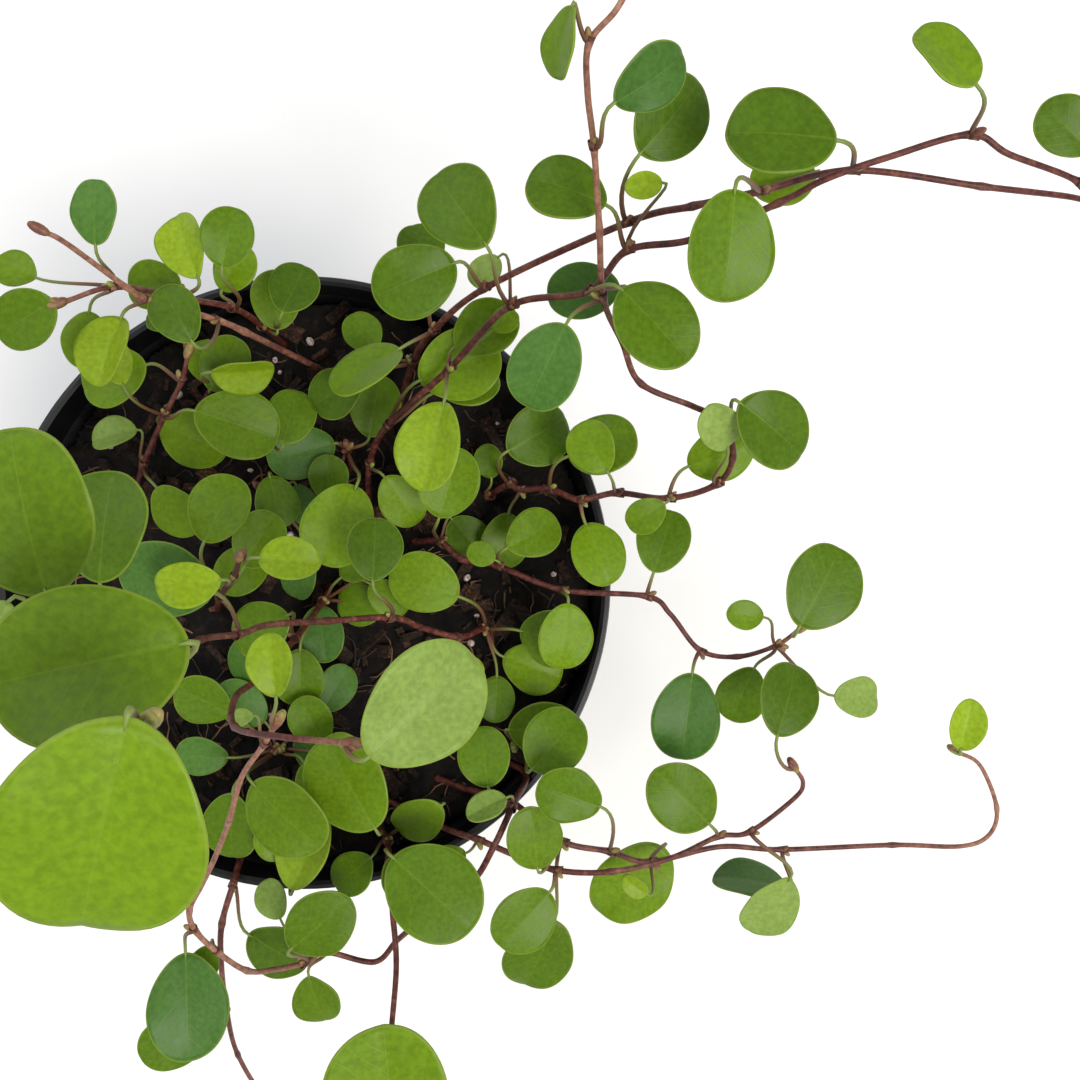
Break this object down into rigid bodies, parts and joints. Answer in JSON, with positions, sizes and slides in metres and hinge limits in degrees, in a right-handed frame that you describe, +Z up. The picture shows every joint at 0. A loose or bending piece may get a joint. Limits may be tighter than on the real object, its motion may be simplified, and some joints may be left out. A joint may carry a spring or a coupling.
{
  "type": "potted angel vine",
  "caption": "Small-leaved creeping wire vine growing from a round black nursery pot of potting mix, with long runners over the rim.",
  "frame": {"origin": "centre of the pot's flat underside, where it stands", "axes": "+Z up out of the pot; +X towards the long runners that trail right; +Y towards the back of the pot"},
  "size_m": [0.1788, 0.2113, 0.216],
  "materials": {
    "black_polypropylene": "satin injection-moulded black plastic",
    "peat_and_bark": "rough, crumbly dark mix",
    "vine_stem": "thin reddish-brown wiry bark",
    "vine_leaf": "soft satin leaf skin"
  },
  "bodies": {
    "root": {"back_left_shoot_stem": "vine_stem", "centre_shoot_stem": "vine_stem", "curled_shoot_stem": "vine_stem", "front_runner_leaf_01": "vine_leaf", "front_runner_leaf_02": "vine_leaf", "front_runner_leaf_03": "vine_leaf", "front_runner_leaf_04": "vine_leaf", "front_runner_leaf_06": "vine_leaf", "front_runner_stem": "vine_stem", "front_shoot_stem": "vine_stem", "heart_shoot_stem": "vine_stem", "inner_left_shoot_stem": "vine_stem", "left_shoot_stem": "vine_stem", "looping_climber_leaf_01": "vine_leaf", "looping_climber_leaf_04": "vine_leaf", "looping_climber_leaf_06": "vine_leaf", "looping_climber_leaf_07": "vine_leaf", "looping_climber_leaf_10": "vine_leaf", "looping_climber_leaf_11": "vine_leaf", "looping_climber_stem": "vine_stem", "low_middle_shoot_stem": "vine_stem", "lower_left_shoot_stem": "vine_stem", "lower_right_shoot_stem": "vine_stem", "middle_shoot_stem": "vine_stem", "node_runner_leaf_02": "vine_leaf", "node_runner_leaf_03": "vine_leaf", "node_runner_leaf_05": "vine_leaf", "node_runner_leaf_06": "vine_leaf", "node_runner_leaf_07": "vine_leaf", "node_runner_leaf_08": "vine_leaf", "node_runner_leaf_10": "vine_leaf", "node_runner_stem": "vine_stem", "nursery_pot": "black_polypropylene", "pink_tipped_shoot_stem": "vine_stem", "potting_mix": "peat_and_bark", "right_runner_leaf_01": "vine_leaf", "right_runner_leaf_05": "vine_leaf", "right_runner_leaf_06": "vine_leaf", "right_runner_leaf_07": "vine_leaf", "right_runner_leaf_09": "vine_leaf", "right_runner_stem": "vine_stem", "rim_shoot_stem": "vine_stem", "rising_runner_leaf_02": "vine_leaf", "rising_runner_leaf_03": "vine_leaf", "rising_runner_leaf_04": "vine_leaf", "rising_runner_leaf_05": "vine_leaf", "rising_runner_stem": "vine_stem", "sweeping_runner_leaf_05": "vine_leaf", "sweeping_runner_leaf_06": "vine_leaf", "sweeping_runner_stem": "vine_stem", "tall_shoot_stem": "vine_stem", "trailing_runner_leaf_01": "vine_leaf", "trailing_runner_leaf_02": "vine_leaf", "trailing_runner_stem": "vine_stem", "upper_runner_leaf_02": "vine_leaf", "upper_runner_leaf_04": "vine_leaf", "upper_runner_leaf_05": "vine_leaf", "upper_runner_leaf_06": "vine_leaf", "upper_runner_leaf_08": "vine_leaf", "upper_runner_stem": "vine_stem"}
  },
  "joints": []
}
